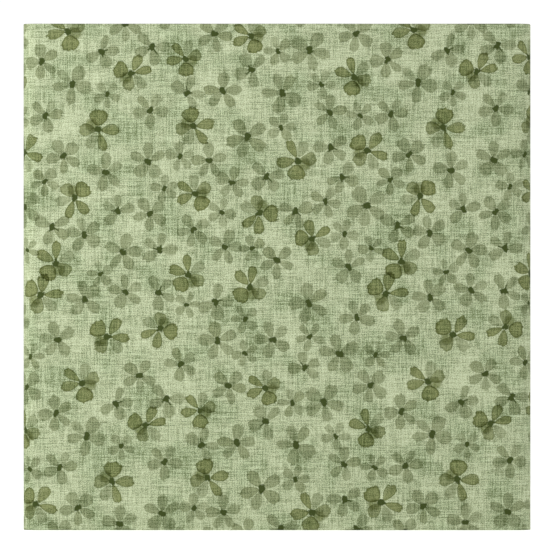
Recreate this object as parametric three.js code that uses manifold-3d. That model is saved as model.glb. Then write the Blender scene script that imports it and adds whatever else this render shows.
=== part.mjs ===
// A short fabric bolt: quilting cotton folded in four, wound round a hollow corrugated board, its free end
// pinned down on the back. Millimetres, +Z up. The bolt stands on its end and its clean face looks along -Y.
import * as THREE from "three";
import { mergeVertices } from "three/addons/utils/BufferGeometryUtils.js";
import Module from "manifold-3d";

const wasm = await Module();
wasm.setup();

// ---- The cloth ----
const FOLDED_WIDTH = 286; // a 45 inch cloth folded in four
const PLY = 0.27; // one thickness of quilting cotton
const PLIES = 4;
const WRAPS = 6; // turns round the board under the free end
const TAIL_REACH = 188; // how far the free end runs across the back, from its fold
const TAIL_END_SETBACK = 1; // the free end's selvedges sit this far inside the roll's ends
const FOLD_TO_CORNER = 2; // flat left on the back between the free end's fold and the round corner

// ---- The board ----
const BOARD_WIDTH = 273.2;
const BOARD_THICKNESS = 20;
const BOARD_CORNER = 1.5; // outside radius of its four long creases
const INNER_CREASE = 0.6; // the same on the inner liner, which is folded sharp
const BOARD_TOP_SETBACK = 1; // the board ends this far below the cloth
const LINER = 0.35;
const FLUTE_HEIGHT = 2; // over the crests of the fluted paper, its own thickness included
const FLUTE_PAPER = 0.3;
const FLUTE_PITCH = 6.4;
const EDGE_WALL = 1.5; // the crushed wall of the board's two narrow sides, inner liner included

// ---- What the board holds ----
const CARD = 1.5; // thickness of the ribs and the end panels
const RIB_WIDTH = 24;
const END_PANEL_SETBACK = 1.2; // the end panels sit this far inside the board's ends
const TONGUE_REACH = 28; // how far each end panel's tongue tucks in
const RIB_TO_TONGUE = 2;
const LABEL_WIDTH = 118;
const LABEL_MARGIN = 0.7; // the end panel that shows in front of and behind the label
const LABEL_PAPER = 0.25;

// ---- The pins ----
const PIN_HEIGHTS = [0.3, 0.7]; // their places up the bolt, as shares of the folded width
const PIN_LENGTH = 34;
const PIN_RADIUS = 0.3;
const PIN_POINT = 2.4; // length of the sharpened end
const PIN_HEAD_RADIUS = 2;
const PIN_HEAD_SOCKET = 1.6; // how deep the shaft sits in the head
const PIN_SLANT = THREE.MathUtils.degToRad(15);
const PIN_SHOWING = 8; // bare shaft between the cloth and the head
const PIN_FROM_FREE_END = 34; // where the shaft enters the cloth

const GAP = 0.3; // clearance between pieces that touch

// ---- Worked out from the sizes above ----
const wrapThickness = PLY * PLIES;
const woundThickness = wrapThickness * WRAPS;
const boardLength = FOLDED_WIDTH - BOARD_TOP_SETBACK;
const hollowWidth = BOARD_WIDTH + 2 * GAP; // the space in the roll that holds the board
const hollowDepth = BOARD_THICKNESS + 2 * GAP;
const rollWidth = hollowWidth + 2 * woundThickness;
const rollDepth = hollowDepth + 2 * woundThickness;
const rollCorner = BOARD_CORNER + GAP + woundThickness;
const tailInside = rollDepth / 2 + GAP;
const tailOutside = tailInside + wrapThickness;
const foldX = rollWidth / 2 - rollCorner - FOLD_TO_CORNER;
const freeEndX = foldX - TAIL_REACH;
const faceWall = 2 * LINER + FLUTE_HEIGHT + 2 * GAP; // the corrugated wall of the board's two wide sides
const chamberWidth = BOARD_WIDTH - 2 * EDGE_WALL;
const chamberDepth = BOARD_THICKNESS - 2 * faceWall;
const panelWidth = chamberWidth - 2 * GAP;
const panelDepth = chamberDepth - 2 * GAP;

// The shaft crosses the tail's outside at pinEntry and its head's centre is pinHeadOut along the shaft.
const pinEntryX = freeEndX + PIN_FROM_FREE_END;
const pinHeadOut = PIN_SHOWING + PIN_HEAD_RADIUS;
const pinHeadRise = pinHeadOut * Math.sin(PIN_SLANT) + PIN_HEAD_RADIUS;
const pinBuried = PIN_LENGTH - PIN_SHOWING - PIN_HEAD_SOCKET;
// The origin is under the middle of the whole part, pin heads included.
const centreShift = (rollDepth / 2 - tailOutside - pinHeadRise) / 2;

const cotton = new THREE.MeshStandardMaterial({ color: 0x98a37d, roughness: 0.95, metalness: 0 });
const kraft = new THREE.MeshStandardMaterial({ color: 0xb08a5e, roughness: 0.9, metalness: 0 });
const flutedKraft = new THREE.MeshStandardMaterial({ color: 0xa47c50, roughness: 0.95, metalness: 0 });
const whiteCard = new THREE.MeshStandardMaterial({ color: 0xe4e0d6, roughness: 0.85, metalness: 0 });
const labelPaper = new THREE.MeshStandardMaterial({ color: 0xf4f3ee, roughness: 0.6, metalness: 0 });
const pinSteel = new THREE.MeshStandardMaterial({ color: 0xc6c8ca, roughness: 0.3, metalness: 1 });
const pinHeadPlastic = new THREE.MeshStandardMaterial({ color: 0xf1ead0, roughness: 0.25, metalness: 0 });

function solidOf(geometry) {
  const bare = geometry.clone();
  bare.deleteAttribute("normal");
  bare.deleteAttribute("uv");
  const merged = mergeVertices(bare, 1e-4);
  const vertProperties = new Float32Array(merged.attributes.position.array);
  const triVerts = new Uint32Array(merged.index.array);
  return new wasm.Manifold(new wasm.Mesh({ numProp: 3, vertProperties, triVerts }));
}

function geometryOf(solid) {
  const { vertProperties, triVerts } = solid.getMesh();
  const geometry = new THREE.BufferGeometry();
  geometry.setAttribute("position", new THREE.BufferAttribute(new Float32Array(vertProperties), 3));
  geometry.setIndex(new THREE.BufferAttribute(new Uint32Array(triVerts), 1));
  geometry.computeVertexNormals();
  return geometry;
}

function cut(geometry, cutters) {
  const rest = cutters.reduce((solid, cutter) => solid.subtract(solidOf(cutter)), solidOf(geometry));
  return geometryOf(rest);
}

function part(name, geometry, material) {
  const mesh = new THREE.Mesh(geometry, material);
  mesh.name = name;
  return mesh;
}

// A straight run of one plan outline, from one height to another.
function run(shape, low, high) {
  const geometry = new THREE.ExtrudeGeometry(shape, {
    depth: high - low,
    bevelEnabled: false,
    curveSegments: 8,
  });
  return geometry.translate(0, 0, low);
}

// A rectangle with round corners; its back edge may stand further out than its front edge.
function roundedOutline(width, front, back, corner, Kind = THREE.Shape) {
  const x = width / 2 - corner;
  const outline = new Kind();
  outline.moveTo(-x, front);
  outline.absarc(x, front + corner, corner, -Math.PI / 2, 0, false);
  outline.absarc(x, back - corner, corner, 0, Math.PI / 2, false);
  outline.absarc(-x, back - corner, corner, Math.PI / 2, Math.PI, false);
  outline.absarc(-x, front + corner, corner, Math.PI, 1.5 * Math.PI, false);
  return outline;
}

function box(x0, x1, y0, y1, z0, z1) {
  const geometry = new THREE.BoxGeometry(x1 - x0, y1 - y0, z1 - z0);
  return geometry.translate((x0 + x1) / 2, (y0 + y1) / 2, (z0 + z1) / 2);
}

// ---- Pins: a straight shaft along the slant, measured from where it crosses the tail's outside ----
const pinOut = new THREE.Vector3(Math.cos(PIN_SLANT), Math.sin(PIN_SLANT), 0);
const pinAcross = new THREE.Vector3(Math.sin(PIN_SLANT), -Math.cos(PIN_SLANT), 0); // square to it, inwards

function pinPlace(z) {
  return new THREE.Vector3(pinEntryX, tailOutside, z);
}

function pinGroup(z) {
  const group = new THREE.Group();
  group.position.copy(pinPlace(z));
  group.quaternion.setFromUnitVectors(new THREE.Vector3(0, 1, 0), pinOut);
  return group;
}

function pinShaft() {
  const profile = [
    new THREE.Vector2(0, -pinBuried),
    new THREE.Vector2(PIN_RADIUS, -pinBuried + PIN_POINT),
    new THREE.Vector2(PIN_RADIUS, PIN_SHOWING + PIN_HEAD_SOCKET),
    new THREE.Vector2(0, PIN_SHOWING + PIN_HEAD_SOCKET),
  ];
  return new THREE.LatheGeometry(profile, 10);
}

function pinHead() {
  const ball = new THREE.SphereGeometry(PIN_HEAD_RADIUS, 20, 14).translate(0, pinHeadOut, 0);
  const socketDepth = PIN_HEAD_SOCKET + GAP;
  const reach = socketDepth + PIN_HEAD_RADIUS;
  const socket = new THREE.CylinderGeometry(PIN_RADIUS + GAP, PIN_RADIUS + GAP, reach, 12);
  socket.translate(0, PIN_SHOWING + socketDepth - reach / 2, 0);
  return cut(ball, [socket]);
}

// The hole that a shaft leaves in the free end, along the slant.
function pinHole(z) {
  const hole = new THREE.CylinderGeometry(PIN_RADIUS + GAP, PIN_RADIUS + GAP, 2 * PIN_LENGTH, 12);
  const group = pinGroup(z);
  group.updateMatrix();
  return hole.applyMatrix4(group.matrix);
}

// The room under the free end that the buried shaft needs as the free end lifts off with its pins.
function pinSlot(z) {
  const half = PIN_RADIUS + GAP;
  const surface = rollDepth / 2 + GAP / 2;
  const entry = pinPlace(z).addScaledVector(pinAcross, half);
  const entryX = entry.x - (entry.y - surface) / Math.tan(PIN_SLANT);
  const point = entry.clone().addScaledVector(pinOut, -pinBuried - GAP);
  const slot = new THREE.Shape();
  slot.moveTo(entryX, surface);
  slot.lineTo(point.x - GAP, surface);
  slot.lineTo(point.x - GAP, point.y);
  slot.lineTo(point.x, point.y);
  return run(slot, z - half, z + half);
}

// ---- Wound cloth: a ring round the board, one wrap thicker beyond the free end's fold ----
function clothRoll() {
  const ring = roundedOutline(rollWidth, -rollDepth / 2, rollDepth / 2, rollCorner);
  const hollow = roundedOutline(hollowWidth, -hollowDepth / 2, hollowDepth / 2, BOARD_CORNER + GAP, THREE.Path);
  ring.holes.push(hollow);
  const cornerX = rollWidth / 2 - rollCorner;
  const cornerY = tailOutside - rollCorner;
  const insideCorner = rollCorner - 2 * wrapThickness;
  const lastWrap = new THREE.Shape();
  lastWrap.moveTo(foldX + GAP, tailOutside);
  lastWrap.lineTo(foldX + GAP, tailOutside - 2 * wrapThickness);
  lastWrap.absarc(cornerX, cornerY, insideCorner, Math.PI / 2, 0, true);
  lastWrap.absarc(cornerX, cornerY, rollCorner, 0, Math.PI / 2, false);
  const joined = solidOf(run(ring, 0, FOLDED_WIDTH)).add(solidOf(run(lastWrap, 0, FOLDED_WIDTH)));
  return cut(geometryOf(joined), pinZ.map(pinSlot));
}

function clothTail() {
  const low = TAIL_END_SETBACK;
  const high = FOLDED_WIDTH - TAIL_END_SETBACK;
  return cut(box(freeEndX, foldX, tailInside, tailOutside, low, high), pinZ.map(pinHole));
}

// ---- Corrugated board: two liners, and the fluted paper of its wide sides between them ----
function linerTube(width, depth, corner) {
  const tube = roundedOutline(width, -depth / 2, depth / 2, corner);
  const inside = roundedOutline(
    width - 2 * LINER,
    -depth / 2 + LINER,
    depth / 2 - LINER,
    corner - LINER,
    THREE.Path,
  );
  tube.holes.push(inside);
  return run(tube, 0, boardLength);
}

function flutedPaper(side) {
  const span = BOARD_WIDTH - 2 * (BOARD_CORNER + EDGE_WALL);
  const steps = Math.round(span / FLUTE_PITCH) * 8;
  const swing = (FLUTE_HEIGHT - FLUTE_PAPER) / 2;
  const middle = side * (BOARD_THICKNESS / 2 - faceWall / 2);
  const wave = (step, lift) => {
    const x = (step / steps - 0.5) * span;
    return new THREE.Vector2(x, middle + swing * Math.sin((step / 8) * 2 * Math.PI) + lift);
  };
  const steady = [...Array(steps + 1).keys()];
  const under = steady.map((step) => wave(step, -FLUTE_PAPER / 2));
  const over = steady.map((step) => wave(step, FLUTE_PAPER / 2)).reverse();
  return run(new THREE.Shape([...under, ...over]), 0, boardLength);
}

// ---- Ribs: folded card channels that keep the two wide sides apart ----
function rib(centreX, openTo) {
  const half = RIB_WIDTH / 2;
  const deep = panelDepth / 2;
  const flip = (x) => centreX + openTo * x;
  const channel = new THREE.Shape([
    new THREE.Vector2(flip(-half), -deep),
    new THREE.Vector2(flip(half), -deep),
    new THREE.Vector2(flip(half), -deep + CARD),
    new THREE.Vector2(flip(-half + CARD), -deep + CARD),
    new THREE.Vector2(flip(-half + CARD), deep - CARD),
    new THREE.Vector2(flip(half), deep - CARD),
    new THREE.Vector2(flip(half), deep),
    new THREE.Vector2(flip(-half), deep),
  ]);
  const clear = END_PANEL_SETBACK + TONGUE_REACH + RIB_TO_TONGUE;
  return run(channel, clear, boardLength - clear);
}

// ---- End panels: a card flap across each mouth, with a tongue tucked in along the back wall ----
// Drawn in the Y and Z plane and run along X; up is 1 at the top of the bolt and -1 at its foot.
const DRAWN_IN_YZ = new THREE.Quaternion().setFromAxisAngle(
  new THREE.Vector3(1, 1, 1).normalize(),
  (2 * Math.PI) / 3,
);

function endPanel(name, outsideZ, up) {
  const front = -panelDepth / 2;
  const back = panelDepth / 2;
  const inside = outsideZ - up * CARD;
  const tongueEnd = outsideZ - up * TONGUE_REACH;
  const flap = new THREE.Shape([
    new THREE.Vector2(front, outsideZ),
    new THREE.Vector2(back, outsideZ),
    new THREE.Vector2(back, tongueEnd),
    new THREE.Vector2(back - CARD, tongueEnd),
    new THREE.Vector2(back - CARD, inside),
    new THREE.Vector2(front, inside),
  ]);
  const panel = part(name, run(flap, -panelWidth / 2, panelWidth / 2), whiteCard);
  panel.quaternion.copy(DRAWN_IN_YZ);
  return panel;
}

function endLabel() {
  const low = boardLength - END_PANEL_SETBACK + GAP;
  const half = panelDepth / 2 - LABEL_MARGIN;
  return box(-LABEL_WIDTH / 2, LABEL_WIDTH / 2, -half, half, low, low + LABEL_PAPER);
}

// ---- The bolt ----
const pinZ = PIN_HEIGHTS.map((share) => share * FOLDED_WIDTH);
const bolt = new THREE.Group();
bolt.position.y = centreShift;

bolt.add(part("cloth_roll", clothRoll(), cotton));
bolt.add(part("cloth_tail", clothTail(), cotton));

const board = new THREE.Group();
board.add(part("board_outer_liner", linerTube(BOARD_WIDTH, BOARD_THICKNESS, BOARD_CORNER), kraft));
const innerLinerWidth = BOARD_WIDTH - 2 * (EDGE_WALL - LINER);
const innerLinerDepth = BOARD_THICKNESS - 2 * (faceWall - LINER);
board.add(part("board_inner_liner", linerTube(innerLinerWidth, innerLinerDepth, INNER_CREASE), kraft));
board.add(part("board_flutes_front", flutedPaper(-1), flutedKraft));
board.add(part("board_flutes_back", flutedPaper(1), flutedKraft));
const ribReach = panelWidth / 2 - RIB_WIDTH / 2 - BOARD_CORNER;
board.add(part("rib_left", rib(-ribReach, 1), kraft));
board.add(part("rib_middle", rib(0, 1), kraft));
board.add(part("rib_right", rib(ribReach, -1), kraft));
board.add(endPanel("end_panel_top", boardLength - END_PANEL_SETBACK, 1));
board.add(endPanel("end_panel_foot", END_PANEL_SETBACK, -1));
board.add(part("end_label", endLabel(), labelPaper));
bolt.add(board);

pinZ.forEach((z, index) => {
  const pin = pinGroup(z);
  pin.add(part(`pin_shaft_${index + 1}`, pinShaft(), pinSteel));
  pin.add(part(`pin_head_${index + 1}`, pinHead(), pinHeadPlastic));
  bolt.add(pin);
});

export default bolt;
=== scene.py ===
# A short fabric bolt, in the order it is put together: the corrugated board, the cloth wound round it, the
# last turn with its print, the free end, and the pins. Metres, in the frame of the CAD.
import math
import random

import bpy
import numpy as np
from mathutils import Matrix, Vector, noise


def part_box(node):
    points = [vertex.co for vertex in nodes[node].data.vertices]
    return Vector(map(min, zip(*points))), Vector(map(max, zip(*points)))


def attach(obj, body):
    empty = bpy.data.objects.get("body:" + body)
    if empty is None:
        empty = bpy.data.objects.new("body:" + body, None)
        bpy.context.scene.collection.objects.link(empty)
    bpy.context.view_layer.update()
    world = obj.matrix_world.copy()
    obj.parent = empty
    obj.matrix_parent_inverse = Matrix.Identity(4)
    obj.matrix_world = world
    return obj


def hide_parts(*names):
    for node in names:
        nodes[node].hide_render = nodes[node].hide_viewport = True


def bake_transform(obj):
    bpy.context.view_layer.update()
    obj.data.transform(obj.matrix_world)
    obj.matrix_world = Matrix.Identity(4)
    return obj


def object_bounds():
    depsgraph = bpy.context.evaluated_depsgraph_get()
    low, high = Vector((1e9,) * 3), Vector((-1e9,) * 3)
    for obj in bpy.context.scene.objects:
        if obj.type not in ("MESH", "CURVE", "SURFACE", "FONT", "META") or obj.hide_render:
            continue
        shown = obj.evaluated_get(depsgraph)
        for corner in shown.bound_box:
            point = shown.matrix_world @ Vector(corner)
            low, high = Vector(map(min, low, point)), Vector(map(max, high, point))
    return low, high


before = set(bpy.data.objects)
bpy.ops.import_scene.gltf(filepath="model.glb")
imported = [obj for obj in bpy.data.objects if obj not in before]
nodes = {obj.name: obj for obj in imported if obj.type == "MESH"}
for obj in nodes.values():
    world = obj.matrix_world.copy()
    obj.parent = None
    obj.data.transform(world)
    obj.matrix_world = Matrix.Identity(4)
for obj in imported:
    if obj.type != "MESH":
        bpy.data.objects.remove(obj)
cad_low, cad_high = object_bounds()


# ---- The board: liners, fluted paper and ribs ----
# Single-wall kraft board folded into a hollow flat box, with three folded card ribs inside. Its shape is
# the CAD's own, so here it only gets its paper: brown, fibrous, with the flutes showing faintly in relief
# and as painted shade.


class Value:
    """A number in a shader tree, so that a chain of Math nodes reads as a formula."""

    def __init__(self, tree, socket):
        self.tree = tree
        self.socket = socket

    def math(self, operation, *others, clamp=False):
        node = self.tree.nodes.new("ShaderNodeMath")
        node.operation = operation
        node.use_clamp = clamp
        for entry, value in zip(node.inputs, (self, *others)):
            if isinstance(value, Value):
                self.tree.links.new(value.socket, entry)
            else:
                entry.default_value = value
        return Value(self.tree, node.outputs[0])

    def __add__(self, other):
        return self.math("ADD", other)

    def __sub__(self, other):
        return self.math("SUBTRACT", other)

    def __mul__(self, other):
        return self.math("MULTIPLY", other)

    def __truediv__(self, other):
        return self.math("DIVIDE", other)

    __radd__ = __add__
    __rmul__ = __mul__

    def __rsub__(self, other):
        return (self * -1.0) + other

    def ramp(self, low, high, to_low=0.0, to_high=1.0):
        """Eases from to_low at low to to_high at high."""
        node = self.tree.nodes.new("ShaderNodeMapRange")
        node.interpolation_type = "SMOOTHSTEP"
        self.tree.links.new(self.socket, node.inputs["Value"])
        limits = {"From Min": low, "From Max": high, "To Min": to_low, "To Max": to_high}
        for name, value in limits.items():
            node.inputs[name].default_value = value
        return Value(self.tree, node.outputs["Result"])

    def within(self, low, high):
        return self.math("GREATER_THAN", low) * self.math("LESS_THAN", high)


def put(tree, kind, values=(), **settings):
    """A new node, its settings set, with each named input linked to a socket or given a value."""
    node = tree.nodes.new(kind)
    for name, value in settings.items():
        setattr(node, name, value)
    for name, value in dict(values).items():
        if isinstance(value, Value):
            value = value.socket
        if isinstance(value, bpy.types.NodeSocket):
            tree.links.new(value, node.inputs[name])
        else:
            node.inputs[name].default_value = value
    return node


def parts_of(tree, vector):
    split = put(tree, "ShaderNodeSeparateXYZ", {"Vector": vector})
    return [Value(tree, socket) for socket in split.outputs]


def speckle(tree, vector, scale, detail=2.0, roughness=0.5, stretch=(1, 1, 1)):
    """Noise from 0 to 1, its grain stretched along the axes where stretch is small."""
    moved = put(tree, "ShaderNodeVectorMath", {0: vector, 1: stretch}, operation="MULTIPLY")
    values = {"Vector": moved.outputs[0], "Scale": scale, "Detail": detail, "Roughness": roughness}
    return Value(tree, put(tree, "ShaderNodeTexNoise", values).outputs["Fac"])


def blend_colours(tree, amount, first, second, how="MIX"):
    node = tree.nodes.new("ShaderNodeMix")
    node.data_type = "RGBA"
    node.blend_type = how
    node.clamp_factor = True
    for entry, value in zip((node.inputs[0], node.inputs[6], node.inputs[7]), (amount, first, second)):
        if isinstance(value, Value):
            value = value.socket
        if isinstance(value, bpy.types.NodeSocket):
            tree.links.new(value, entry)
        else:
            entry.default_value = value if entry == node.inputs[0] else (*value, 1.0)
    return node.outputs[2]


def seen(red, green, blue):
    """The light reflected by a colour given as it is seen, each part from 0 to 255."""

    def linear(part):
        part /= 255
        return part / 12.92 if part <= 0.04045 else ((part + 0.055) / 1.055) ** 2.4

    return linear(red), linear(green), linear(blue)


def finish_of(name, roughness, metallic=0.0, sheen=0.0, coat=0.0, specular=0.5):
    """A new material, with its tree and its shader, on which the even properties are set."""
    material = bpy.data.materials.new(name)
    material.use_nodes = True
    shell = material.node_tree.nodes["Principled BSDF"]
    shell.inputs["Roughness"].default_value = roughness
    shell.inputs["Metallic"].default_value = metallic
    shell.inputs["Sheen Weight"].default_value = sheen
    shell.inputs["Coat Weight"].default_value = coat
    shell.inputs["Specular IOR Level"].default_value = specular
    return material, material.node_tree, shell


def raise_surface(tree, shell, height, distance, strength=1.0):
    """Gives a shader the relief of a height from 0 to 1 that stands that many metres proud."""
    values = {"Height": height, "Distance": distance, "Strength": strength}
    bump = put(tree, "ShaderNodeBump", values)
    tree.links.new(bump.outputs["Normal"], shell.inputs["Normal"])


def group_of(name, entries, exits):
    """A shader node group: its tree, what goes in and where what comes out is linked."""
    tree = bpy.data.node_groups.new(name, "ShaderNodeTree")
    for label, kind in entries.items():
        tree.interface.new_socket(label, in_out="INPUT", socket_type="NodeSocket" + kind)
    for label, kind in exits.items():
        tree.interface.new_socket(label, in_out="OUTPUT", socket_type="NodeSocket" + kind)
    return tree, tree.nodes.new("NodeGroupInput").outputs, tree.nodes.new("NodeGroupOutput").inputs


FLUTE_PITCH = 0.0064
PAPER_RELIEF = 0.00006
paper_group, paper_in, paper_out = group_of(
    "paper fibres",
    {"Vector": "Vector", "Flecks": "Float"},
    {"Shade": "Float", "Height": "Float"},
)
fibres = speckle(paper_group, paper_in["Vector"], 900, 3, 0.6, (1, 1, 0.18))
clouds = speckle(paper_group, paper_in["Vector"], 60, 3, 0.6)
flecks = speckle(paper_group, paper_in["Vector"], 1500, 1, 0.5).ramp(0.68, 0.74)
shade = clouds * 0.5 + fibres * 0.5 - flecks * Value(paper_group, paper_in["Flecks"])
paper_group.links.new(shade.socket, paper_out["Shade"])
paper_group.links.new(fibres.socket, paper_out["Height"])


def paper_finish(name, dark, light, flecks=0.12, washboard_and_shade=0.0):
    """Kraft paper or card. The last argument is how plainly the flutes under it show, in relief and as
    painted shade in its colour.
    """
    material, tree, shell = finish_of(name, 0.88, specular=0.25)
    where = put(tree, "ShaderNodeTexCoord").outputs["Object"]
    paper = put(tree, "ShaderNodeGroup", node_tree=paper_group)
    tree.links.new(where, paper.inputs["Vector"])
    paper.inputs["Flecks"].default_value = flecks
    across = parts_of(tree, where)[0]
    ridge_and_shade = (across * (2 * math.pi / FLUTE_PITCH)).math("SINE") * washboard_and_shade
    # The flutes' ridges are also painted into the colour as light and dark bands: painted shade of their
    # relief.
    tone = Value(tree, paper.outputs["Shade"]) + ridge_and_shade * 0.25
    tree.links.new(blend_colours(tree, tone.ramp(0.2, 0.8), dark, light), shell.inputs["Base Color"])
    raise_surface(tree, shell, Value(tree, paper.outputs["Height"]) + ridge_and_shade * 2.0, PAPER_RELIEF)
    return material


def dress(names, material):
    for name in names:
        nodes[name].data.materials.clear()
        nodes[name].data.materials.append(material)


KRAFT_DARK = seen(150, 112, 72)
KRAFT_LIGHT = seen(196, 158, 112)
liner_paper = paper_finish("kraft_liner", KRAFT_DARK, KRAFT_LIGHT, washboard_and_shade=0.3)
flute_paper = paper_finish("fluted_kraft", seen(136, 98, 60), seen(180, 140, 96))
rib_card = paper_finish("rib_card", seen(158, 122, 82), seen(200, 166, 122))
dress(["board_outer_liner", "board_inner_liner"], liner_paper)
dress(["board_flutes_front", "board_flutes_back"], flute_paper)
dress(["rib_left", "rib_middle", "rib_right"], rib_card)


# ---- The end panels and the label ----
# Each mouth of the board is closed by a white-lined card flap, glued in. The top one carries a blank paper
# ticket, printed with a thin frame, a colour patch, three lines to write on and a thin upright bar.
panel_card = paper_finish("panel_card", seen(206, 200, 186), seen(232, 228, 218), flecks=0.3)
dress(["end_panel_top", "end_panel_foot"], panel_card)

label_low, label_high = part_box("end_label")
label_middle = (label_low + label_high) / 2
LABEL_INK = seen(92, 106, 66)
LABEL_RELIEF = 0.00003
label_paper, label_tree, label_shell = finish_of("label_paper", 0.5, specular=0.35)
label_at = put(label_tree, "ShaderNodeTexCoord").outputs["Object"]
label_x, label_y, _ = parts_of(label_tree, label_at)
MILLIMETRES = 1000  # in a metre
label_x = (label_x - label_middle.x) * MILLIMETRES
label_y = (label_y - label_middle.y) * MILLIMETRES
half_x = (label_high.x - label_low.x) / 2 * MILLIMETRES
half_y = (label_high.y - label_low.y) / 2 * MILLIMETRES
FRAME_INSET = 1.0
FRAME_LINE = 0.35
PRINT_MARGIN = 2.6
# The patch and the starts of the lines are measured from the label's left end. The ends of the lines and the
# thin upright bar are measured from its right end.
PATCH_START = 4
PATCH_END = 24
RULES = 3
RULE_SPACING = 2.4
RULE_HALF = 0.14
RULE_START = 30
RULE_STOP = 32
BAR_START = 26
BAR_STOP = 25.6


def block(x0, x1, y0, y1):
    """An upright rectangle of ink, in millimetres from the middle of the label."""
    return label_x.within(x0, x1) * label_y.within(y0, y1)


def inset_block(inset):
    return block(-half_x + inset, half_x - inset, -half_y + inset, half_y - inset)


foot = -half_y + PRINT_MARGIN
head = half_y - PRINT_MARGIN
printed = inset_block(FRAME_INSET) - inset_block(FRAME_INSET + FRAME_LINE)
printed = printed + block(-half_x + PATCH_START, -half_x + PATCH_END, foot, head)
for rule in range(RULES):
    level = RULE_SPACING * (rule - (RULES - 1) / 2)
    printed = printed + block(-half_x + RULE_START, half_x - RULE_STOP, level - RULE_HALF, level + RULE_HALF)
printed = printed + block(half_x - BAR_START, half_x - BAR_STOP, foot, head)
fibre = speckle(label_tree, label_at, 700, 3, 0.6)
plain = blend_colours(label_tree, fibre.ramp(0.3, 0.7), seen(238, 237, 231), seen(248, 247, 243))
ticket = blend_colours(label_tree, printed.math("MINIMUM", 1.0) * (fibre * 0.3 + 0.75), plain, LABEL_INK)
label_tree.links.new(ticket, label_shell.inputs["Base Color"])
raise_surface(label_tree, label_shell, fibre, LABEL_RELIEF)
dress(["end_label"], label_paper)


# ---- The wound cloth ----
# Nearly four metres of cotton, folded in four and wound flat round the board. Each turn is four plies: two
# nested U folds along the top, and at the foot one fold and the two selvedges.
roll_low, roll_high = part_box("cloth_roll")
tail_low, tail_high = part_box("cloth_tail")
board_low, board_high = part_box("board_outer_liner")
TURNS = 6
PLIES = 4
CREASE = 0.0015  # the radius the board's long edges give the cloth
AIR = 0.00015  # between the board and the first turn
PLY_SHARE = 0.8  # of the room that a ply has
FOOT_GAP = 0.0001
SELVEDGE_RISE = 0.0004
HIDDEN_SELVEDGE_RISE = 0.0007
half_width = (board_high.x - board_low.x) / 2 - CREASE
half_depth = (board_high.y - board_low.y) / 2 - CREASE
board_y = (board_high.y + board_low.y) / 2
wound = roll_high.x - board_high.x
turn_depth = (wound - AIR) / TURNS
tail_offset = tail_high.y - board_high.y
ply_pitch = turn_depth / PLIES
ply = PLY_SHARE * ply_pitch
cloth_top = roll_high.z
cloth_foot = roll_low.z + FOOT_GAP


def straight(start, end, out, step):
    """Places along a flat side, each with its way out, without the last one."""
    count = max(2, math.ceil((Vector(end) - Vector(start)).length / step))
    return [(Vector(start).lerp(Vector(end), i / count), Vector(out)) for i in range(count)]


def corner(centre, start_degrees, steps):
    """Places round a corner of the board, a quarter turn clockwise, without the last one."""
    found = []
    for i in range(steps):
        angle = math.radians(start_degrees - 90 * i / steps)
        out = Vector((math.cos(angle), math.sin(angle)))
        found.append((Vector(centre), out))
    return found


def lay_turn(before, after, step, corner_steps):
    """One turn, from the right end of the back: (place, way out, offset, side) along the winding."""
    right = half_width
    back = board_y + half_depth
    front = board_y - half_depth
    legs = [
        ("right", corner((right, back), 90, corner_steps)),
        ("right", straight((right, back), (right, front), (1, 0), step)),
        ("right", corner((right, front), 0, corner_steps)),
        ("front", straight((right, front), (-right, front), (0, -1), step)),
        ("left", corner((-right, front), -90, corner_steps)),
        ("left", straight((-right, front), (-right, back), (-1, 0), step)),
        ("left", corner((-right, back), 180, corner_steps)),
        ("back", straight((-right, back), (right, back), (0, 1), step)),
    ]
    stations = []
    for leg, (side, places) in enumerate(legs):
        for i, (place, out) in enumerate(places):
            eased = i / len(places) if leg == 0 else 1.0
            eased = eased * eased * (3 - 2 * eased)
            stations.append((place, out, before + (after - before) * eased, side))
    return stations


FINE_STEP = 0.003
FINE_CORNER = 9
WIDE_STEP = 0.014
WIDE_CORNER = 5
free_end_x = tail_low.x
back_y = board_y + half_depth
tail_places = straight((free_end_x, back_y), (half_width, back_y), (0, 1), FINE_STEP)
stations = [(place, out, tail_offset, "tail") for place, out in tail_places]
stations += lay_turn(tail_offset, wound, FINE_STEP, FINE_CORNER)
fine_count = len(stations)
for turn in range(1, TURNS):
    before = wound - (turn - 1) * turn_depth
    stations += lay_turn(before, wound - turn * turn_depth, WIDE_STEP, WIDE_CORNER)

place = np.array([p for p, _, _, _ in stations])
way_out = np.array([out for _, out, _, _ in stations])
offset = np.array([d for _, _, d, _ in stations]) + CREASE
side_of = [side for _, _, _, side in stations]
outside = place + way_out * offset[:, None]
run_out = np.concatenate([[0.0], np.cumsum(np.linalg.norm(np.diff(outside, axis=0), axis=1))])


WIDE_FOLD = 8
TIGHT_FOLD = 6
PLAIN_ROWS = 5
FINE_EVERY = 4  # the wrong side keeps one row in so many
PLAIN_EVERY = 12


def half_circle(steps):
    """Angles from nothing to a half turn, with both ends."""
    return [math.pi * i / steps for i in range(steps + 1)]


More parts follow.
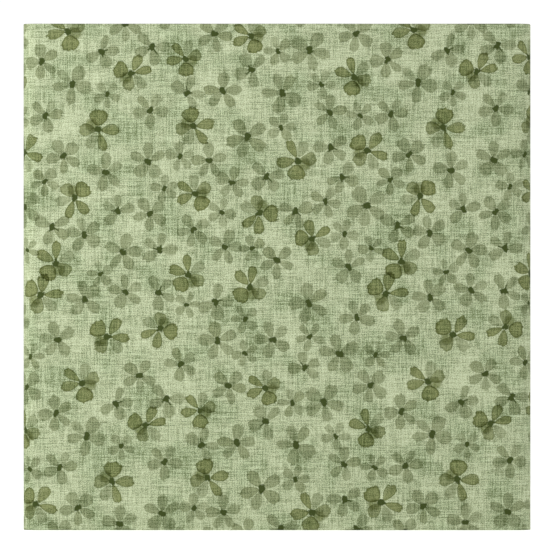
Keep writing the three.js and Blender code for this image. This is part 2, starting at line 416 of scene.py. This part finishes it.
def folded_outline(rows, inner_rows=1, hidden_rows=1):
    """The four plies seen along the winding: (depth from the outside, height, unfolded distance, side),
    the printed side of the cloth first and then its wrong side. The rows are how finely the outermost ply,
    the innermost and the two between them are cut."""
    depth = [(k + 0.5) * ply_pitch for k in range(PLIES)]
    outer_radius = (depth[3] - depth[0]) / 2
    inner_radius = (depth[2] - depth[1]) / 2
    fold_radius = (depth[1] - depth[0]) / 2
    middle = (depth[3] + depth[0]) / 2
    top = cloth_top - outer_radius - ply / 2
    foot = cloth_foot + fold_radius + ply / 2
    every = FINE_EVERY if hidden_rows > 1 else PLAIN_EVERY
    low_edge = cloth_foot + SELVEDGE_RISE
    line = [(depth[3], low_edge, True)]
    for i in range(1, inner_rows):
        line.append((depth[3], low_edge + (top - low_edge) * i / inner_rows, i % every == 0))
    for angle in half_circle(WIDE_FOLD):
        line.append((middle + outer_radius * math.cos(angle), top + outer_radius * math.sin(angle), True))
    for i in range(1, rows):
        line.append((depth[0], top + (foot - top) * i / rows, rows > PLAIN_ROWS and i % every == 0))
    for angle in half_circle(TIGHT_FOLD):
        across = (depth[0] + depth[1]) / 2 - fold_radius * math.cos(angle)
        line.append((across, foot - fold_radius * math.sin(angle), True))
    for i in range(1, hidden_rows):
        line.append((depth[1], foot + (top - foot) * i / hidden_rows, True))
    for angle in half_circle(TIGHT_FOLD):
        line.append((middle - inner_radius * math.cos(angle), top + inner_radius * math.sin(angle), True))
    low_edge = cloth_foot + HIDDEN_SELVEDGE_RISE
    for i in range(hidden_rows - 1, 0, -1):
        line.append((depth[2], low_edge + (top - low_edge) * i / hidden_rows, True))
    line.append((depth[2], low_edge, True))
    centre = np.array([(d, z) for d, z, _ in line])
    ahead = np.gradient(centre, axis=0)
    ahead /= np.linalg.norm(ahead, axis=1)[:, None]
    square = np.stack([ahead[:, 1], -ahead[:, 0]], axis=1) * ply / 2
    unfolded = np.concatenate([[0.0], np.cumsum(np.linalg.norm(np.diff(centre, axis=0), axis=1))])
    printed_side = [(*point, u, 0.0) for point, u in zip(centre + square, unfolded)]
    wrong_line = zip(centre - square, unfolded, line)
    wrong_side = [(*point, u, 1.0) for point, u, (_, _, kept) in wrong_line if kept]
    return np.array(printed_side + wrong_side[::-1])


def wander(distance, seed):
    """A slow drift either way along the cloth, in long waves with shorter ones over them."""
    return noise.noise(Vector((distance * 9, seed, 0))) + 0.6 * noise.noise(Vector((distance * 31, seed, 5)))


SWELL = 0.0005
LOOSENESS = 0.0002
EDGE_WANDER = 0.00045


def slack(x, out_y, z):
    """How far the flat faces stand out past the board's edges, with the cloth's slight looseness."""
    across = x / (half_width + wound)
    up = 2 * z / cloth_top - 1
    swell = max(0.0, 1 - across * across) * max(0.0, 1 - up**4)
    loose = 0.5 + noise.noise(Vector((x * 14, out_y * 3, z * 11)))
    return abs(out_y) * swell * (SWELL + LOOSENESS * loose)


def uneven_edge(distance):
    """How far the folds of the cloth stand above or below the straight edge as they were wound."""
    return EDGE_WANDER * wander(distance, 3.0)


FOLD_BAND = 0.002
FOOT_BAND = 0.001
MAP_EDGE = 0.004
MAP_HEIGHT = 0.99
STRIP_WIDTH = 0.955
HIDDEN_WORTH = 0.05
INNER_WORTH = 0.002
CUT_START = 0.967
CUT_SPACING = 0.016
CUT_WIDTH = 0.012


def bake_places(where, along, outline, turns, both_faces):
    """Where each corner goes in a square map: the plies that show get most of it, one row for each turn,
    and the two cut ends lie beside them."""
    count = len(outline)
    step = np.linalg.norm(np.diff(outline[:, :2], axis=0, append=outline[:1, :2]), axis=1)
    depth = (outline[:, 0] + np.roll(outline[:, 0], -1)) / 2
    height = (outline[:, 1] + np.roll(outline[:, 1], -1)) / 2
    printed = (outline[:, 3] + np.roll(outline[:, 3], -1)) == 0
    at_fold = (height > cloth_top - FOLD_BAND) | (height < cloth_foot + FOOT_BAND)
    shown = (depth < ply_pitch) | at_fold
    if both_faces:
        shown |= depth > (PLIES - 1) * ply_pitch
    worth = np.where(shown & printed, 1.0, HIDDEN_WORTH)
    if turns > 1:
        worth = np.where(at_fold, 1.0, INNER_WORTH)
    level = np.concatenate([[0.0], np.cumsum(step * worth)])
    level /= level[-1]
    body = len(where) - 2 * count
    share = (along - along.min()) / (along.max() - along.min()) * turns
    lowest = np.repeat(share[:body].reshape(-1, 4).min(axis=1), 4)
    row = np.minimum(np.floor(lowest + 1e-6), turns - 1)
    u = MAP_EDGE + STRIP_WIDTH * (share[:body] - row)
    v = (row + MAP_EDGE + MAP_HEIGHT * level[where[:body, 1]]) / turns
    cap = outline[where[body:, 1]]
    side = np.repeat([0.0, 1.0], count)
    cap_u = CUT_START + side * CUT_SPACING + cap[:, 0] / wound * TURNS * CUT_WIDTH
    cap_v = MAP_EDGE + MAP_HEIGHT * (cap[:, 1] - cap[:, 1].min()) / np.ptp(cap[:, 1])
    return np.concatenate([np.stack([u, v], axis=1), np.stack([cap_u, cap_v], axis=1)])


HIDDEN_ROWS = 24
FOOT_WANDER = 0.6
CUT_END_SIDE = 0.8
SMOOTH_ANGLE = math.radians(50)


def new_piece(name, mesh):
    """Puts a mesh in the scene as an object, with its faces turned outwards."""
    piece = bpy.data.objects.new(name, mesh)
    bpy.context.collection.objects.link(piece)
    bpy.ops.object.select_all(action="DESELECT")
    bpy.context.view_layer.objects.active = piece
    piece.select_set(True)
    bpy.ops.object.mode_set(mode="EDIT")
    bpy.ops.mesh.select_all(action="SELECT")
    bpy.ops.mesh.normals_make_consistent(inside=False)
    bpy.ops.object.mode_set(mode="OBJECT")
    return piece


def cloth_strip(name, first, last, rows, lift=None, edge=uneven_edge, turns=1):
    """The folded cloth swept along the winding from one station to another, as one closed body."""
    outline = folded_outline(rows, rows, HIDDEN_ROWS) if lift else folded_outline(rows)
    count = len(outline)
    points = []
    for station in range(first, last + 1):
        x, y = place[station]
        nx, ny = way_out[station]
        shift = edge(run_out[station])
        for depth, z, _, _ in outline:
            height = z + shift * (1 if z > cloth_top / 2 else FOOT_WANDER)
            height = min(max(height, cloth_foot), cloth_top)
            out = offset[station] - depth + slack(outside[station][0], ny, z) * (1 - depth / wound)
            if lift:
                out += lift(outside[station][0], z)
            points.append((x + nx * out, y + ny * out, height))
    faces = []
    places = []
    for j in range(last - first):
        for i in range(count):
            ring = [(j, i), (j, i + 1), (j + 1, i + 1), (j + 1, i)]
            faces.append([a * count + b % count for a, b in ring])
            places += ring
    for j, order in ((0, reversed(range(count))), (last - first, range(count))):
        ring = [(j, i) for i in order]
        faces.append([a * count + b for a, b in ring])
        places += ring
    mesh = bpy.data.meshes.new(name)
    mesh.from_pydata(points, [], faces)
    where = np.array(places)
    along = run_out[first + where[:, 0]]
    spot = outline[where[:, 1] % count]
    across = spot[:, 2].copy()
    is_cut = np.arange(len(where)) >= len(where) - 2 * count
    across[is_cut] = spot[is_cut, 1]
    layer = mesh.uv_layers.new(name="cloth")
    u = np.where(is_cut, along + spot[:, 0], along)
    layer.data.foreach_set("uv", np.stack([u, across], axis=1).astype(np.float32).ravel())
    wrong = mesh.attributes.new("wrong_side", "FLOAT", "CORNER")
    wrong.data.foreach_set("value", np.where(is_cut, CUT_END_SIDE, spot[:, 3]).astype(np.float32))
    baked = mesh.uv_layers.new(name="OFBake")
    map_places = bake_places(where, along, outline, turns, bool(lift))
    baked.data.foreach_set("uv", map_places.astype(np.float32).ravel())
    mesh.uv_layers.active = layer
    piece = new_piece(name, mesh)
    bpy.ops.object.shade_smooth_by_angle(angle=SMOOTH_ANGLE)
    return piece


# The ground of the cloth: pale sage over a darker one, broken up by threads both ways of the weave, by fine
# grain and by wide clouds.
GROUND_LIGHT = seen(194, 203, 168)
GROUND_DARK = seen(94, 106, 67)
CLOUD_TINT = (0.96, 1.0, 0.98)
# Streaks as (length, width) in millimetres, and the width of a pair of threads.
SLUB = (17, 0.8)
STROKE = (4.6, 0.52)
THREAD = 0.42
# How strongly each shows in the tone of the ground, and that tone where all of them are at their middle.
SLUB_TONE = 1.25
STROKE_TONE = 0.7
GRAIN_TONE = 1.9
CLOUD_TONE = 1.0
MIDDLE_TONE = 0.54
ground_group, ground_in, ground_out = group_of(
    "sage ground",
    {"Cloth": "Vector"},
    {"Color": "Color", "Height": "Float", "Grain": "Float"},
)
cloth_mm = put(
    ground_group,
    "ShaderNodeVectorMath",
    {0: ground_in["Cloth"], 1: (MILLIMETRES,) * 3},
    operation="MULTIPLY",
).outputs[0]


def threads(length, width):
    """Streaks of that length and width in millimetres along both ways of the weave, about zero."""
    lengthwise = speckle(ground_group, cloth_mm, 1.0, 1, 0.6, (1 / length, 1 / width, 1))
    crosswise = speckle(ground_group, cloth_mm, 1.0, 1, 0.6, (1 / width, 1 / length, 1))
    return lengthwise + crosswise - 1.0


slubs = threads(*SLUB)
strokes = threads(*STROKE)
grain = speckle(ground_group, cloth_mm, 2.2, 0, 0.5)
cloud = speckle(ground_group, cloth_mm, 0.048, 3, 0.6)
hatching = 0.35 + cloud * 0.9
tone = slubs * hatching * SLUB_TONE + strokes * STROKE_TONE + (grain - 0.5) * GRAIN_TONE
tone = tone - (cloud - 0.5) * CLOUD_TONE + MIDDLE_TONE
ground = blend_colours(ground_group, tone, GROUND_DARK, GROUND_LIGHT)
ground = blend_colours(ground_group, cloud.ramp(0.42, 0.66), ground, CLOUD_TINT, "MULTIPLY")
warp, weft, _ = parts_of(ground_group, cloth_mm)
weave = (warp * (2 * math.pi / THREAD)).math("SINE") * (weft * (2 * math.pi / THREAD)).math("SINE")
ground_group.links.new(ground, ground_out["Color"])
ground_group.links.new((slubs * 0.5 + strokes * 0.5 + weave * 0.5).socket, ground_out["Height"])
ground_group.links.new(grain.socket, ground_out["Grain"])

# One printed blossom, in parts of its own radius: five petals round a dark heart, in thin colour that lets
# the ground through. Kinds: 0 sage, 1 small sage, 2 olive with petals of five sorts, 3 seen from the side.
SAGE_PETAL = (0.57, 0.585, 0.505)
OLIVE_PETAL = (0.45, 0.46, 0.295)
SMUDGE = (0.40, 0.42, 0.26)
RIM = (0.50, 0.52, 0.36)
HEART = seen(57, 68, 30)
OLIVE_KIND = 2
PETALS = 5
SMUDGE_PLACE = (0.22, 0.33)
FIRST_DOT = (0.055, 0.02)
SECOND_DOT = (-0.055, -0.045)
blossom_group, blossom_in, blossom_out = group_of(
    "blossom",
    {"Color": "Color", "Place": "Vector", "Grain": "Float", "Bleed": "Float"},
    {"Color": "Color"},
)
bleed = Value(blossom_group, blossom_in["Bleed"]) - 0.5
grain = Value(blossom_group, blossom_in["Grain"]) - 0.5
px, py, code = parts_of(blossom_group, blossom_in["Place"])
kind = code.math("FLOOR")
seed = code.math("FRACT")
is_small = kind.math("COMPARE", 1.0, 0.1)
is_olive = kind.math("COMPARE", float(OLIVE_KIND), 0.1)
is_side = kind.math("COMPARE", 3.0, 0.1)
spread = (px * px + py * py).math("SQRT") * (1.0 + bleed * 0.34)
angle = py.math("ARCTAN2", px)
uneven = (angle + (1.0 - is_olive) * seed * 40.0).math("SINE") * (is_olive * 0.12 + 0.16)
around = (angle - uneven) * (PETALS / (2 * math.pi))
petal = (around + 0.5).math("FLOOR")
which = petal.math("FLOORED_MODULO", float(PETALS))
roll = put(blossom_group, "ShaderNodeCombineXYZ", {"X": which + 0.31, "Y": seed * 97.0})
dice = put(blossom_group, "ShaderNodeTexWhiteNoise", {"Vector": roll.outputs[0]}, noise_dimensions="2D")
dice_a, dice_b, dice_c = parts_of(blossom_group, dice.outputs["Color"])


def petal_table(values):
    """A number for each of the five petals of an olive blossom."""
    total = 0.0
    for index, value in enumerate(values):
        total = which.math("COMPARE", float(index), 0.1) * value + total
    return total


# Each petal is an oval: half its length, half its width, how far out its middle lies, how far it leans, and
# how much of the olive colour it takes.
sage = 1.0 - is_olive
long_half = (0.41 + 0.05 * dice_a) * sage + is_olive * petal_table([0.37, 0.38, 0.40, 0.43, 0.43])
wide_half = (0.225 + 0.08 * dice_b) * sage + is_olive * petal_table([0.30, 0.29, 0.29, 0.25, 0.24])
middle = 0.55 + is_olive * petal_table([0.03, -0.07, -0.02, 0.01, 0.01])
lean = (dice_c - 0.5) * 0.24
olive = is_olive * petal_table([1.0, 0.6, 0.05, 0.95, 0.9]) + sage * (dice_c - 0.72).math("MAXIMUM", 0.0)
swing = (around - petal - lean) * (2 * math.pi / PETALS)
along = (spread * swing.math("COSINE") - middle) / long_half
across = spread * swing.math("SINE") / (wide_half * (1.0 + along * (0.36 + is_olive * 0.06)))
reach = (along * along + across * across).math("SQRT")
inside = 1.0 - reach.ramp(0.93, 1.05)
rim = reach.ramp(0.70, 0.92) * inside
dropped = is_side * which.math("COMPARE", 3.0, 0.1)
thin = (0.75 + 0.5 * dice_a) * (1.0 - is_small * 0.12)
strength = thin.math("MINIMUM", 1.0) * sage + is_olive * (0.75 + olive * 0.3)
strength = inside * strength * (1.0 + grain * 0.6) * (1.0 - dropped)
tint = blend_colours(blossom_group, olive, SAGE_PETAL, OLIVE_PETAL)
stained = blend_colours(blossom_group, strength, blossom_in["Color"], tint, "MULTIPLY")
edge = rim * (0.16 + olive * 0.95) * (1.0 - dropped) * (0.75 + grain)
stained = blend_colours(blossom_group, edge, stained, RIM, "MULTIPLY")


def from_place(x, y):
    """How far away a place in the blossom is."""
    return ((px - x) * (px - x) + (py - y) * (py - y)).math("SQRT")


smudge = is_olive * (1.0 - (from_place(*SMUDGE_PLACE) + bleed * 0.4).ramp(0.20, 0.36))
smudge = smudge * (0.85 + bleed * 1.5 + grain * 0.8)
stained = blend_colours(blossom_group, smudge, stained, SMUDGE, "MULTIPLY")
second_dot = from_place(*SECOND_DOT) + is_olive * 0.05 + 0.02
dots = from_place(*FIRST_DOT).math("MINIMUM", second_dot)
stem = px.within(-0.035, 0.04) * py.within(0.0, 0.40) + py.within(-0.05, 0.03) * px.within(0.0, 0.30)
heart = 1.0 - (dots + bleed * 0.22).ramp(0.125, 0.185)
heart = (heart + is_side * stem * (0.85 + grain)).math("MINIMUM", 1.0) * (1.0 + grain * 0.4)
stained = blend_colours(blossom_group, heart, stained, HEART)
blossom_group.links.new(stained, blossom_out["Color"])


COTTON_RELIEF = 0.00008
FADED = seen(122, 132, 82)
WRONG_SIDE = seen(190, 198, 172)


def cotton_finish(name, blossoms):
    """The cloth's finish: its ground, a print layer for each blossom attribute, and a paler wrong side."""
    material, tree, shell = finish_of(name, 0.93, sheen=0.01, specular=0.08)
    where = put(tree, "ShaderNodeUVMap", uv_map="cloth").outputs["UV"]
    ground = put(tree, "ShaderNodeGroup", node_tree=ground_group)
    tree.links.new(where, ground.inputs["Cloth"])
    colour = ground.outputs["Color"]
    bleed = speckle(tree, where, 520, 2, 0.6)
    for layer in blossoms:
        print_layer = put(tree, "ShaderNodeGroup", node_tree=blossom_group)
        at = put(tree, "ShaderNodeAttribute", attribute_name=layer)
        tree.links.new(at.outputs["Vector"], print_layer.inputs["Place"])
        tree.links.new(colour, print_layer.inputs["Color"])
        tree.links.new(ground.outputs["Grain"], print_layer.inputs["Grain"])
        tree.links.new(bleed.socket, print_layer.inputs["Bleed"])
        colour = print_layer.outputs["Color"]
    if not blossoms:
        patches = speckle(tree, where, 75, 2, 0.6).ramp(0.5, 0.66)
        colour = blend_colours(tree, patches * 0.6, colour, FADED)
    wrong = put(tree, "ShaderNodeAttribute", attribute_name="wrong_side").outputs["Fac"]
    colour = blend_colours(tree, Value(tree, wrong) * 0.45, colour, WRONG_SIDE)
    tree.links.new(colour, shell.inputs["Base Color"])
    raise_surface(tree, shell, ground.outputs["Height"], COTTON_RELIEF, 0.8)
    return material


plain_cotton = cotton_finish("cotton_folds", [])
wound_turns = cloth_strip("wound_turns", fine_count, len(stations) - 1, PLAIN_ROWS, turns=TURNS - 1)
wound_turns.data.materials.append(plain_cotton)
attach(wound_turns, "roll")
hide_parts("cloth_roll")
CLOTH_WIDTH = float(folded_outline(PLAIN_ROWS)[:, 2].max())


# ---- The last turn ----
# The outermost turn of the same cloth, the one that is seen: it wraps the right edge, the clean front face
# and the left edge and runs on under the free end. It is cut fine enough to carry the print.

# The two steps from one repeat of the print to the next, then (kind, how many in a repeat, radius) for its
# blossoms, and how many places are tried for each kind: few leave it uneven, many fill the gaps evenly.
REPEAT = np.array([[0.195, 0.001], [-0.008, 0.1985]])
BLOSSOMS = [(2, 19, 0.0115), (0, 12, 0.0113), (0, 23, 0.0099), (3, 14, 0.0101), (1, 18, 0.0080)]
CANDIDATES = {2: 9, 0: 200, 3: 300, 1: 400}
OLIVE_CLEARANCE = 0.012
blossom_dice = random.Random(11)


def nearest_gap(place_in_repeat, radius, kind_number, chosen):
    """The clear space between a new blossom and those already in the repeat, which goes on for ever."""
    if not chosen:
        return 1.0
    others = np.array([c[:2] for c in chosen])
    apart = place_in_repeat - others
    apart -= np.round(apart)
    distances = np.linalg.norm(apart @ REPEAT, axis=1)
    sizes = np.array([c[2] for c in chosen])
    alike = np.array([OLIVE_CLEARANCE if c[3] == kind_number == OLIVE_KIND else 0.0 for c in chosen])
    return float((distances - sizes - radius - alike).min())


blossoms = []
for kind_number, count, radius in BLOSSOMS:
    for _ in range(count):
        size = radius * blossom_dice.uniform(0.94, 1.08)
        tries = [
            np.array([blossom_dice.random(), blossom_dice.random()])
            for _ in range(CANDIDATES[kind_number])
        ]
        best = max(tries, key=lambda spot: nearest_gap(spot, size, kind_number, blossoms))
        turned = blossom_dice.uniform(0, 2 * math.pi)
        code_number = kind_number + blossom_dice.uniform(0.02, 0.95)
        blossoms.append((best[0], best[1], size, kind_number, turned, code_number))
blossom_table = np.array(blossoms)
BLOSSOM_LAYERS = ["blossom_1", "blossom_2", "blossom_3"]
FACES_AT_ONCE = 3000


def print_blossoms(piece):
    """Gives each face of the cloth the places of the three blossoms that reach furthest over it."""
    mesh = piece.data
    loops = len(mesh.loops)
    uv = np.zeros(loops * 2, np.float32)
    mesh.uv_layers["cloth"].data.foreach_get("uv", uv)
    uv = uv.reshape(-1, 2).astype(float)
    starts = np.array([polygon.loop_start for polygon in mesh.polygons])
    totals = np.array([polygon.loop_total for polygon in mesh.polygons])
    owner = np.repeat(np.arange(len(starts)), totals)
    centres = np.add.reduceat(uv, starts, axis=0) / totals[:, None]
    cells = np.floor(centres @ np.linalg.inv(REPEAT))
    local = centres - cells @ REPEAT
    around_cell = [(i, j) for i in (-1, 0, 1) for j in (-1, 0, 1)]
    spots = np.concatenate([(blossom_table[:, :2] + step) @ REPEAT for step in around_cell])
    index = np.tile(np.arange(len(blossom_table)), len(around_cell))
    reach = blossom_table[index, 2]
    chosen = np.zeros((len(starts), len(BLOSSOM_LAYERS)), int)
    for begin in range(0, len(starts), FACES_AT_ONCE):
        part = local[begin : begin + FACES_AT_ONCE]
        away = np.linalg.norm(part[:, None] - spots[None], axis=2) - reach
        near = np.argpartition(away, len(BLOSSOM_LAYERS), axis=1)[:, : len(BLOSSOM_LAYERS)]
        order = np.argsort(index[near], axis=1)
        chosen[begin : begin + FACES_AT_ONCE] = np.take_along_axis(near, order, axis=1)
    for number, layer in enumerate(BLOSSOM_LAYERS):
        spot = spots[chosen[:, number]]
        row = blossom_table[index[chosen[:, number]]]
        at = uv - (cells @ REPEAT)[owner] - spot[owner]
        cosine = np.cos(row[:, 4])[owner]
        sine = np.sin(row[:, 4])[owner]
        size = row[:, 2][owner]
        x = (at[:, 0] * cosine + at[:, 1] * sine) / size
        y = (at[:, 1] * cosine - at[:, 0] * sine) / size
        attribute = mesh.attributes.new(layer, "FLOAT_VECTOR", "CORNER")
        data = np.stack([x, y, row[:, 5][owner]], axis=1).astype(np.float32)
        attribute.data.foreach_set("vector", data.ravel())


def station_near(side, x):
    """The station on one side of the last turn that is nearest to a place across the bolt."""
    found = [i for i in range(fine_count) if side_of[i] == side]
    return min(found, key=lambda i: abs(outside[i][0] - x))


FLAT_BEYOND_CORNER = 0.006
PAST_FOLD = 0.003
FINE_ROWS = 95
flat_end = half_width - FLAT_BEYOND_CORNER
fold = station_near("tail", tail_high.x + PAST_FOLD)
seams = [
    ("outer_turn_right", fold, station_near("front", flat_end)),
    ("outer_turn_front", station_near("front", flat_end), station_near("front", -flat_end)),
    ("outer_turn_left", station_near("front", -flat_end), station_near("back", -flat_end)),
    ("outer_turn_back", station_near("back", -flat_end), fine_count - 1),
]
printed_cotton = cotton_finish("printed_cotton", BLOSSOM_LAYERS)


def straight_edge(distance):
    """The edge of the last turn and the free end, which wanders less than those under it."""
    return uneven_edge(distance) * 0.3


def declare_cloth(piece, body, first, last):
    """Prints a stretch of the last turn or the free end, gives it the printed cotton and puts it on its
    body, if it has one.
    """
    print_blossoms(piece)
    piece.data.materials.append(printed_cotton)
    if body:
        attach(piece, body)


for name, first, last in seams:
    strip = cloth_strip(name, first, last, FINE_ROWS, edge=straight_edge)
    declare_cloth(strip, "roll", first, last)
    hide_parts("cloth_roll")


# ---- The free end ----
# The last stretch of the cloth lies on the back, held by two pins. It folds back from the right edge, its
# raw cut end lifts a little, and each pin pulls a shallow dimple into it.
LIFT_REACH = 0.026
LIFT = 0.0011
DIMPLE_LENGTH = 0.016
DIMPLE_HEIGHT = 0.007
DIMPLE = 0.00022
PUCKER = 0.0002
pin_spots = []
for number in (1, 2):
    shaft_low, shaft_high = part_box(f"pin_shaft_{number}")
    pin_spots.append(((shaft_low.x + shaft_high.x) / 2, (shaft_low.z + shaft_high.z) / 2))


def tail_lift(x, z):
    """How far the free end stands out from where it would lie flat."""
    rise = max(0.0, 1 - (x - free_end_x) / LIFT_REACH) ** 2
    out = LIFT * rise * (0.6 + 0.5 * noise.noise(Vector((z * 22, 0.3, 1.7))))
    for pin_x, pin_z in pin_spots:
        away = math.hypot((x - pin_x) / DIMPLE_LENGTH, (z - pin_z) / DIMPLE_HEIGHT)
        pucker = noise.noise(Vector((math.atan2(z - pin_z, x - pin_x) * 2, pin_z * 40, 2.0)))
        out -= DIMPLE * math.exp(-away * away)
        out += PUCKER * pucker * math.exp(-((away - 1.3) ** 2))
    return out


tail = cloth_strip("free_end", 0, fold, FINE_ROWS, tail_lift, straight_edge)
declare_cloth(tail, None, 0, fold)
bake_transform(tail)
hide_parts("cloth_tail")


# ---- The frayed edge ----
# The free end is a cut edge, so short ends of the threads stand out of its four plies, a little curled.
# Each is a thin three-sided strand in three lengths, rooted just inside the ply it comes from.
THREAD_ENDS = 120
THREAD_RADIUS = 0.00009
THREAD_SIDES = 3
THREAD_LENGTHS = 3
THREAD_ROOT = 0.0003
SHORTEST = 0.0006
LONGEST = 0.0030
MOST_CURL = 0.30
MOST_DRIFT = 0.5
END_MARGIN = 0.004
thread_dice = random.Random(4)
corners = []
sides = []
for _ in range(THREAD_ENDS):
    level = thread_dice.uniform(tail_low.z + END_MARGIN, tail_high.z - END_MARGIN)
    depth = (thread_dice.randrange(PLIES) + 0.5) * ply_pitch
    root_y = back_y + CREASE + tail_offset - depth + tail_lift(free_end_x, level)
    length = thread_dice.uniform(SHORTEST, LONGEST)
    curl = thread_dice.uniform(0.0, MOST_CURL)
    drift = thread_dice.uniform(-MOST_DRIFT, MOST_DRIFT)
    first_corner = len(corners)
    for ring in range(THREAD_LENGTHS + 1):
        t = ring / THREAD_LENGTHS
        x = free_end_x + THREAD_ROOT - length * t
        for k in range(THREAD_SIDES):
            turn = 2 * math.pi * k / THREAD_SIDES
            y = root_y + curl * length * t * t + THREAD_RADIUS * math.cos(turn)
            corners.append((x, y, level + drift * length * t * t + THREAD_RADIUS * math.sin(turn)))
    for ring in range(THREAD_LENGTHS):
        for k in range(THREAD_SIDES):
            a = first_corner + THREAD_SIDES * ring + k
            b = first_corner + THREAD_SIDES * ring + (k + 1) % THREAD_SIDES
            sides.append((a, b, b + THREAD_SIDES, a + THREAD_SIDES))
    tip = first_corner + THREAD_SIDES * THREAD_LENGTHS
    sides.append((first_corner, first_corner + 2, first_corner + 1))
    sides.append((tip, tip + 1, tip + 2))
thread_mesh = bpy.data.meshes.new("thread_ends")
thread_mesh.from_pydata(corners, [], sides)
thread_ends = new_piece("thread_ends", thread_mesh)
bpy.ops.object.shade_smooth()
yarn, yarn_tree, yarn_shell = finish_of("cotton_yarn", 0.95, specular=0.08)
twist = speckle(yarn_tree, put(yarn_tree, "ShaderNodeTexCoord").outputs["Object"], 1800, 2, 0.6)
yarn_tree.links.new(
    blend_colours(yarn_tree, twist.ramp(0.3, 0.7), seen(150, 162, 122), seen(206, 213, 186)),
    yarn_shell.inputs["Base Color"],
)
thread_mesh.materials.append(yarn)
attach(thread_ends, "tail")


# ---- The pins ----
# Two steel shafts with moulded heads the colour of pearl, pushed in on a slant through the free end into the
# turns under it. Their shapes are the CAD's own.
pin_steel, pin_tree, pin_shell = finish_of("pin_steel", 0.25, metallic=1.0)
drawn = speckle(pin_tree, put(pin_tree, "ShaderNodeTexCoord").outputs["Object"], 2500, 2, 0.5)
steel = blend_colours(pin_tree, drawn, seen(196, 198, 202), seen(222, 224, 228))
pin_tree.links.new(steel, pin_shell.inputs["Base Color"])
pin_tree.links.new(drawn.ramp(0.2, 0.8, 0.2, 0.34).socket, pin_shell.inputs["Roughness"])
pearl, pearl_tree, pearl_shell = finish_of("pin_head", 0.18, coat=0.6)
sheen_bands = speckle(pearl_tree, put(pearl_tree, "ShaderNodeTexCoord").outputs["Object"], 420, 2, 0.5)
cream = blend_colours(pearl_tree, sheen_bands.ramp(0.3, 0.7), seen(236, 226, 200), seen(250, 244, 226))
pearl_tree.links.new(cream, pearl_shell.inputs["Base Color"])
for number in (1, 2):
    dress([f"pin_shaft_{number}"], pin_steel)
    dress([f"pin_head_{number}"], pearl)


# ---- Studio ----
# A pale floor, soft light from all round with more of it from the upper left, a weaker light along the right
# edge, a faint one from above, and a long lens square to the face.
FLOOR_SIZE = 14
FLOOR_GLOW = 0.56
bpy.ops.object.select_all(action="DESELECT")
bpy.ops.mesh.primitive_plane_add(size=FLOOR_SIZE, location=(0, 0, 0))
floor = bpy.context.object
floor.name = "floor"
floor_paint, _, floor_shell = finish_of("floor_paint", 0.9, specular=0.0)
floor_shell.inputs["Base Color"].default_value = (0.93, 0.93, 0.93, 1)
floor_shell.inputs["Emission Color"].default_value = (1, 1, 1, 1)
floor_shell.inputs["Emission Strength"].default_value = FLOOR_GLOW
floor.data.materials.append(floor_paint)

ROOM_LIGHT = 0.53
BACKDROP = 1.05
world = bpy.data.worlds.new("studio")
bpy.context.scene.world = world
world.use_nodes = True
lit = world.node_tree
room = lit.nodes["Background"]
room.inputs["Color"].default_value = (1, 1, 1, 1)
seen_by_lens = Value(lit, put(lit, "ShaderNodeLightPath").outputs["Is Camera Ray"])
lit.links.new((seen_by_lens * (BACKDROP - ROOM_LIGHT) + ROOM_LIGHT).socket, room.inputs["Strength"])

middle_height = (cad_low.z + cad_high.z) / 2


def soft_light(name, place, size, power):
    """A square light aimed at the middle of the bolt."""
    light = bpy.data.lights.new(name, "AREA")
    light.shape = "SQUARE"
    light.size = size
    light.energy = power
    holder = bpy.data.objects.new(name, light)
    bpy.context.collection.objects.link(holder)
    holder.location = place
    aim = Vector((0, 0, middle_height)) - Vector(place)
    holder.rotation_euler = aim.to_track_quat("-Z", "Y").to_euler()


soft_light("key", place=(-0.76, -0.6, 0.47), size=0.4, power=6.2)
soft_light("edge", place=(1.1, -0.14, 0.2), size=0.5, power=3.0)
soft_light("top", place=(0.2, 0.5, 1.8), size=1.2, power=2.0)

FACE_HALF = 0.1563  # half of what the lens takes in, at the front face
camera_data = bpy.data.cameras.new("camera")
camera_data.lens = 400
camera_data.sensor_width = 36
camera_data.clip_start = 0.05
camera = bpy.data.objects.new("camera", camera_data)
bpy.context.collection.objects.link(camera)
distance = FACE_HALF * 2 * camera_data.lens / camera_data.sensor_width
camera.location = (0, roll_low.y - distance, middle_height)
camera.rotation_euler = (math.radians(90), 0, 0)
bpy.context.scene.camera = camera
bpy.context.scene.view_settings.view_transform = "Standard"
